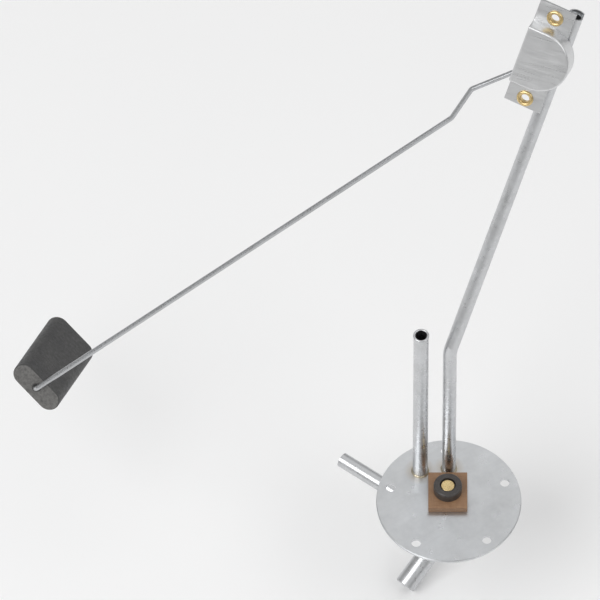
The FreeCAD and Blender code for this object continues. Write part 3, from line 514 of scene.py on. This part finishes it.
def revolve(place, profile, steps, shape, closed=True):
    """Turns a (radius, height) outline in millimetres about the frame's Z axis.

    The shape function moves each point by its angle. An outline that isn't closed gets a flat face at
    each of its two ends.
    """
    mould = bmesh.new()
    rings = []
    for step in range(steps):
        angle = 2 * math.pi * step / steps
        ring = []
        for index, (radius, height) in enumerate(profile):
            radius, height = shape(angle, index, radius, height)
            point = Vector((radius * math.cos(angle), radius * math.sin(angle), height)) * MM
            ring.append(mould.verts.new(place @ point))
        rings.append(ring)
    spans = len(profile) if closed else len(profile) - 1
    for step in range(steps):
        here, there = rings[step], rings[(step + 1) % steps]
        for index in range(spans):
            after = (index + 1) % len(profile)
            mould.faces.new((here[index], there[index], there[after], here[after]))
    if not closed:
        mould.faces.new([ring[0] for ring in rings])
        mould.faces.new([ring[-1] for ring in reversed(rings)])
    bmesh.ops.recalc_face_normals(mould, faces=mould.faces)
    return mould


def wavering(orders, amount):
    """A closed random ripple round a circle: the sum of a few harmonics, from 0 down to -amount."""
    waves = [(order, random.uniform(0, 2 * math.pi), random.uniform(0.4, 1.0)) for order in orders]
    total = sum(weight for _, _, weight in waves)

    def ripple(angle):
        level = sum(weight * math.sin(order * angle + start) for order, start, weight in waves)
        return -amount * (1 - level / total) / 2

    return ripple


def make_braze(name, node):
    """A braze bead with the ripples of a hand-fed rod: it never leaves the CAD fillet's box."""
    place, height = node_frame(node, UP)
    low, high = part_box(node)
    inner = (high.x - low.x) / 2 / MM - height
    crest = wavering((2, 3, 5, 9, 17), BEAD_CREST_RIPPLE)
    spread = wavering((2, 4, 7, 13, 19), BEAD_SPREAD_RIPPLE)
    profile = [(inner, 0.0)]
    for station in range(BEAD_STATIONS + 1):
        share = station / BEAD_STATIONS
        profile.append((inner + height * share, height * (1 - share)))

    def shape(angle, index, radius, tall):
        if index == 0:
            return radius, tall
        away = (radius - inner) / height
        up = tall / height
        bulge = BEAD_BULGE / 2 * math.sin(math.pi * away)
        radius += away * spread(angle) + bulge * up
        tall += up * crest(angle) + bulge * away
        return max(radius, inner), max(tall, 0.0)

    mould = revolve(place, profile, BEAD_STEPS, shape)
    link_piece(name, smooth_mesh(name, mould, sharp_degrees=50), node)


def make_eyelet(name, node):
    """A tubular eyelet with both ends rolled over into full round rims."""
    place, height = node_frame(node, SENDER_AXIS)
    profile = [(radius, height - depth) for radius, depth in EYELET_DEPTHS]
    profile += reversed(EYELET_DEPTHS)
    ripple = wavering((2, 3, 5, 7), EYELET_RIPPLE)

    def shape(angle, index, radius, tall):
        if radius > EYELET_RIPPLE_FROM:
            radius += ripple(angle) * (radius - EYELET_SHANK) / (EYELET_RIM - EYELET_SHANK)
        return radius, tall

    mould = revolve(place, profile, EYELET_STEPS, shape)
    link_piece(name, smooth_mesh(name, mould, sharp_degrees=60), node)


def make_stud():
    """The terminal stud with its rolled thread, in one turned piece."""
    name = "stud_threaded"
    place, height = node_frame("terminal_stud", UP)
    threaded = THREAD_HIGH - THREAD_LOW
    profile = list(STUD_TIP)
    stations = int(threaded / THREAD_PITCH * THREAD_STATIONS)
    for station in range(stations + 1):
        profile.append((STUD_RADIUS, THREAD_LOW + threaded * station / stations))
    profile.append((STUD_RADIUS, STUD_THREAD_END))
    profile += [(radius, height - depth) for radius, depth in STUD_HEAD_DEPTHS]

    def shape(angle, index, radius, tall):
        if THREAD_LOW <= tall <= THREAD_HIGH:
            phase = (tall / THREAD_PITCH - angle / (2 * math.pi)) % 1.0
            depth = THREAD_DEPTH * (1 - min(1.0, abs(phase - 0.5) * THREAD_FLANK))
            to_end = min(tall - THREAD_LOW, THREAD_HIGH - tall)
            radius -= depth * min(1.0, to_end / THREAD_FADE)
        return radius, tall

    mould = revolve(place, profile, STUD_STEPS, shape, closed=False)
    link_piece(name, smooth_mesh(name, mould, sharp_degrees=40), "terminal_stud")


def make_push_nut():
    """A sprung push-on nut: a dished ring whose teeth bite the wire."""
    name = "push_nut_toothed"
    place, height = node_frame("float_push_nut", SENDER_AXIS)
    rim = [(radius, height - depth) for radius, depth in PUSH_NUT_RIM_DEPTHS]
    profile = PUSH_NUT_UNDERSIDE + rim + PUSH_NUT_UPSIDE
    pitch = 2 * math.pi / PUSH_NUT_TEETH

    def shape(angle, index, radius, tall):
        if index in (0, len(profile) - 1):
            share = (angle / pitch) % 1.0
            in_slot = min(share, 1 - share) * pitch < PUSH_NUT_HALF_SLOT
            return (PUSH_NUT_SLOT_RADIUS if in_slot else PUSH_NUT_TOOTH_RADIUS), tall
        return radius, tall

    mould = revolve(place, profile, PUSH_NUT_STEPS, shape)
    link_piece(name, smooth_mesh(name, mould, sharp_degrees=35), "float_push_nut")


def can_outline(inset):
    """The D in plan, drawn in by an inset: flat on the left, a half circle on the right.

    Its two left corners are rounded. The points are (x, y) in millimetres.
    """
    radius = CAN_RADIUS - inset
    left = inset - HALF_WIDTH
    rounding = max(CAN_CORNER - inset, 0.0)
    flat_steps, arc_steps, corner_steps = 12, 96, 8
    points = []
    for step in range(flat_steps + 1):
        points.append((left, (radius - rounding) * (2 * step / flat_steps - 1)))
    for step in range(1, corner_steps + 1):
        turn = math.pi - math.pi / 2 * step / corner_steps
        x, y = rounding * math.cos(turn), rounding * math.sin(turn)
        points.append((left + rounding + x, radius - rounding + y))
    for step in range(arc_steps + 1):
        turn = math.pi / 2 - math.pi * step / arc_steps
        points.append((radius * math.cos(turn), radius * math.sin(turn)))
    for step in range(corner_steps):
        turn = -math.pi / 2 - math.pi / 2 * step / corner_steps
        x, y = rounding * math.cos(turn), rounding * math.sin(turn)
        points.append((left + rounding + x, rounding - radius + y))
    return [(x, y + CAN_CENTRE) for x, y in points]


def can_solid(bottom, wall):
    """The can's closed outside when wall is 0, or its inside when wall is the sheet's thickness."""
    edge, top = CAN_EDGE - wall, CAN_HEIGHT - wall - CAN_CROWN
    stations = [(0.0, bottom), (0.0, top - edge)]
    for step in range(1, CAN_EDGE_STEPS + 1):
        turn = math.pi / 2 * step / CAN_EDGE_STEPS
        stations.append((edge * (1 - math.cos(turn)), top - edge + edge * math.sin(turn)))
    deepest = HALF_WIDTH - CAN_FLAT_MIDDLE - wall
    for step in range(1, CAN_CROWN_STEPS):
        share = step / CAN_CROWN_STEPS
        stations.append((edge + (deepest - edge) * share, top + CAN_CROWN * (1 - (1 - share) ** 2)))
    mould = bmesh.new()
    rings = []
    for inset, height in stations:
        rings.append([mould.verts.new((x, y, height)) for x, y in can_outline(wall + inset)])
    count = len(rings[0])
    for lower, upper in zip(rings, rings[1:]):
        for index in range(count):
            after = (index + 1) % count
            mould.faces.new((lower[index], lower[after], upper[after], upper[index]))
    mould.faces.new(rings[-1])
    mould.faces.new(list(reversed(rings[0])))
    bmesh.ops.remove_doubles(mould, verts=mould.verts, dist=WELD)
    bmesh.ops.recalc_face_normals(mould, faces=mould.faces)
    return mould


def block_solid(low, high, rounding=0.0):
    """A block between two corners, with its edges rounded if asked."""
    mould = bmesh.new()
    middle = [(a + b) / 2 for a, b in zip(low, high)]
    spans = [b - a for a, b in zip(low, high)]
    matrix = Matrix.Translation(middle) @ Matrix.Diagonal((*spans, 1))
    bmesh.ops.create_cube(mould, size=1, matrix=matrix)
    if rounding:
        bmesh.ops.bevel(
            mould, geom=mould.edges[:], offset=rounding, segments=SOFT_SEGMENTS, profile=0.5,
            affect="EDGES",
        )
    return mould


def post_solid(centre, radius, low, high):
    """An upright post that cuts a round hole."""
    mould = bmesh.new()
    matrix = Matrix.Translation((*centre, (low + high) / 2))
    bmesh.ops.create_cone(
        mould, cap_ends=True, segments=64, radius1=radius, radius2=radius, depth=high - low,
        matrix=matrix,
    )
    return mould


def scratch_object(name, mould):
    """A passing object for one step of a join or a cut."""
    mesh = bpy.data.meshes.new(name)
    mould.to_mesh(mesh)
    mould.free()
    scratch = bpy.data.objects.new(name, mesh)
    bpy.context.collection.objects.link(scratch)
    return scratch


def combine(steps):
    """Joins or cuts solids one after another and hands back the result as a bmesh."""
    scratch = [scratch_object(f"step_{index}", mould) for index, (_, mould) in enumerate(steps)]
    base = scratch[0]
    for (how, _), other in zip(steps[1:], scratch[1:]):
        modifier = base.modifiers.new(how.lower(), "BOOLEAN")
        modifier.operation = how
        modifier.solver = "EXACT"
        modifier.object = other
    bpy.context.view_layer.update()
    result = bmesh.new()
    result.from_object(base, bpy.context.evaluated_depsgraph_get())
    for item in scratch:
        bpy.data.objects.remove(item, do_unlink=True)
    return result


def sender_frame():
    """The base plate's own frame, found from its two eyelets and the pivot axis."""
    upper, lower = (
        node_frame(node, SENDER_AXIS)[0].translation for node in ("upper_eyelet", "lower_eyelet")
    )
    up = (upper - lower).normalized()
    out = SENDER_AXIS
    across = up.cross(out)
    turn = Matrix((across, up, out)).transposed()
    shift = across * UPPER_EYELET[0] + up * UPPER_EYELET[1] - out * EYELET_BACK
    origin = upper - shift * MM
    return Matrix.Translation(origin) @ turn.to_4x4() @ Matrix.Scale(MM, 4)


def make_cover():
    """The cover as a pressing: rounded shoulders, a slightly crowned face and a drawn foot."""
    ears = block_solid(
        (-HALF_WIDTH, -EAR_HALF_LENGTH, 0), (HALF_WIDTH, EAR_HALF_LENGTH, SHEET), EAR_EDGE
    )
    window = block_solid(
        (-HALF_WIDTH - CUT_MARGIN, WINDOW_LOW, -CUT_MARGIN),
        (-HALF_WIDTH + CUT_MARGIN, WINDOW_HIGH, WINDOW_HEIGHT),
    )
    mould = combine([
        ("BASE", can_solid(0.0, 0.0)),
        ("UNION", ears),
        ("DIFFERENCE", can_solid(-CUT_MARGIN, SHEET)),
        ("DIFFERENCE", window),
        ("DIFFERENCE", post_solid(UPPER_EYELET, EYELET_HOLE, -CUT_MARGIN, CUT_MARGIN)),
        ("DIFFERENCE", post_solid(LOWER_EYELET, EYELET_HOLE, -CUT_MARGIN, CUT_MARGIN)),
    ])
    bmesh.ops.dissolve_degenerate(mould, dist=WELD, edges=mould.edges)
    foot = [
        edge for edge in mould.edges
        if len(edge.link_faces) == 2 and not edge.is_convex and edge.calc_face_angle() > FOOT_ANGLE
        and all(abs(corner.co.z - SHEET) < FOOT_LEVEL for corner in edge.verts)
    ]
    bmesh.ops.bevel(
        mould, geom=foot, offset=FOOT_FILLET, segments=FOOT_SEGMENTS, profile=0.5, affect="EDGES",
        clamp_overlap=True,
    )
    mould.transform(sender_frame())
    name = "pressed_cover"
    link_piece(name, smooth_mesh(name, mould, sharp_degrees=32), "sender_cover")


def soften(node, width):
    """The CAD node's own shape with its sharp outer edges rounded a little, as after tumbling."""
    mould = bmesh.new()
    mould.from_mesh(frame["nodes"][node].data)
    bmesh.ops.remove_doubles(mould, verts=mould.verts, dist=SOFT_WELD * MM)
    bmesh.ops.dissolve_limit(mould, angle_limit=FLAT_ANGLE, verts=mould.verts, edges=mould.edges)
    edges = [
        edge for edge in mould.edges
        if len(edge.link_faces) == 2 and edge.is_convex and edge.calc_face_angle() > EDGE_ANGLE
    ]
    bmesh.ops.bevel(
        mould, geom=edges, offset=width * MM, segments=SOFT_SEGMENTS, profile=0.5, affect="EDGES",
        clamp_overlap=True, offset_type="OFFSET",
    )
    name = node + "_softened"
    link_piece(name, smooth_mesh(name, mould, sharp_degrees=35), node)


def add_floor():
    """A plain pale floor just under the part."""
    low = cad_box[0].z - FLOOR_GAP
    bpy.ops.mesh.primitive_plane_add(size=FLOOR_SIZE, location=(0, 0, low))
    floor = bpy.context.object
    floor.name = "floor"
    finish = Finish("floor_paper", (0.93, 0.93, 0.93), 0.9, Specular_IOR_Level=0.1)
    finish.tint(finish.noise(0.004, 2), (0.915, 0.915, 0.917), 0.6)
    floor.data.materials.append(finish.material)


def add_world():
    """A soft room: pale overhead, greyer towards the horizon, with a soft box high behind the part."""
    world = bpy.data.worlds.new("studio")
    bpy.context.scene.world = world
    world.use_nodes = True
    tree = world.node_tree
    background = tree.nodes["Background"]
    direction = tree.nodes.new("ShaderNodeTexCoord")
    split = tree.nodes.new("ShaderNodeSeparateXYZ")
    tree.links.new(direction.outputs["Generated"], split.inputs["Vector"])
    height = tree.nodes.new("ShaderNodeMapRange")
    height.inputs["From Min"].default_value = WORLD_BOTTOM
    height.inputs["To Min"].default_value = WORLD_LOW
    height.inputs["To Max"].default_value = WORLD_HIGH
    tree.links.new(split.outputs["Z"], height.inputs["Value"])
    facing = tree.nodes.new("ShaderNodeVectorMath")
    facing.operation = "DOT_PRODUCT"
    facing.inputs[1].default_value = Vector(SOFTBOX_DIRECTION).normalized()
    tree.links.new(direction.outputs["Generated"], facing.inputs[0])
    softbox = tree.nodes.new("ShaderNodeMapRange")
    softbox.interpolation_type = "SMOOTHSTEP"
    softbox.inputs["From Min"].default_value = SOFTBOX_EDGE
    softbox.inputs["From Max"].default_value = SOFTBOX_CORE
    softbox.inputs["To Max"].default_value = SOFTBOX_STRENGTH
    tree.links.new(facing.outputs["Value"], softbox.inputs["Value"])
    total = tree.nodes.new("ShaderNodeMath")
    total.operation = "ADD"
    tree.links.new(height.outputs["Result"], total.inputs[0])
    tree.links.new(softbox.outputs["Result"], total.inputs[1])
    tree.links.new(total.outputs["Value"], background.inputs["Strength"])
    background.inputs["Color"].default_value = (1, 1, 1, 1)


def add_lamps():
    """Square area lamps that all look at the middle of the part."""
    middle = (cad_box[0] + cad_box[1]) / 2
    for name, (place, width, watts) in LAMPS.items():
        data = bpy.data.lights.new(name, "AREA")
        data.shape = "SQUARE"
        data.size = width
        data.energy = watts
        lamp = bpy.data.objects.new(name, data)
        bpy.context.collection.objects.link(lamp)
        lamp.location = place
        lamp.rotation_euler = (middle - Vector(place)).to_track_quat("-Z", "Y").to_euler()


def add_camera():
    """The drawing's view: the flange's middle lies on its own pixel."""
    data = bpy.data.cameras.new("camera")
    data.lens = LENS_MM
    data.sensor_width = SENSOR_MM
    camera = bpy.data.objects.new("camera", data)
    bpy.context.collection.objects.link(camera)
    right = Vector((1, 0, 0))
    up = Vector((0, math.sin(CAMERA_ELEVATION), math.cos(CAMERA_ELEVATION)))
    towards = right.cross(up)
    pixel = PICTURE_WIDTH / PICTURE_PIXELS
    centre = right * (PICTURE_PIXELS / 2 - FLANGE_PIXEL[0]) * pixel
    centre += up * (FLANGE_PIXEL[1] - PICTURE_PIXELS / 2) * pixel
    distance = PICTURE_WIDTH * LENS_MM / SENSOR_MM
    camera.location = centre + towards * distance
    camera.rotation_euler = (-towards).to_track_quat("-Z", "Y").to_euler()
    data.clip_start = CLIP_START
    data.clip_end = distance * 3
    bpy.context.scene.camera = camera


finishes = dress_nodes()
make_braze("supply_bead", "supply_braze")
make_braze("vent_bead", "vent_braze")
make_eyelet("upper_rolled_eyelet", "upper_eyelet")
make_eyelet("lower_rolled_eyelet", "lower_eyelet")
make_stud()
make_push_nut()
make_cover()
for node, width in SOFTENED.items():
    soften(node, width)
add_floor()
add_world()
add_lamps()
add_camera()
bpy.context.scene.view_settings.view_transform = "Standard"
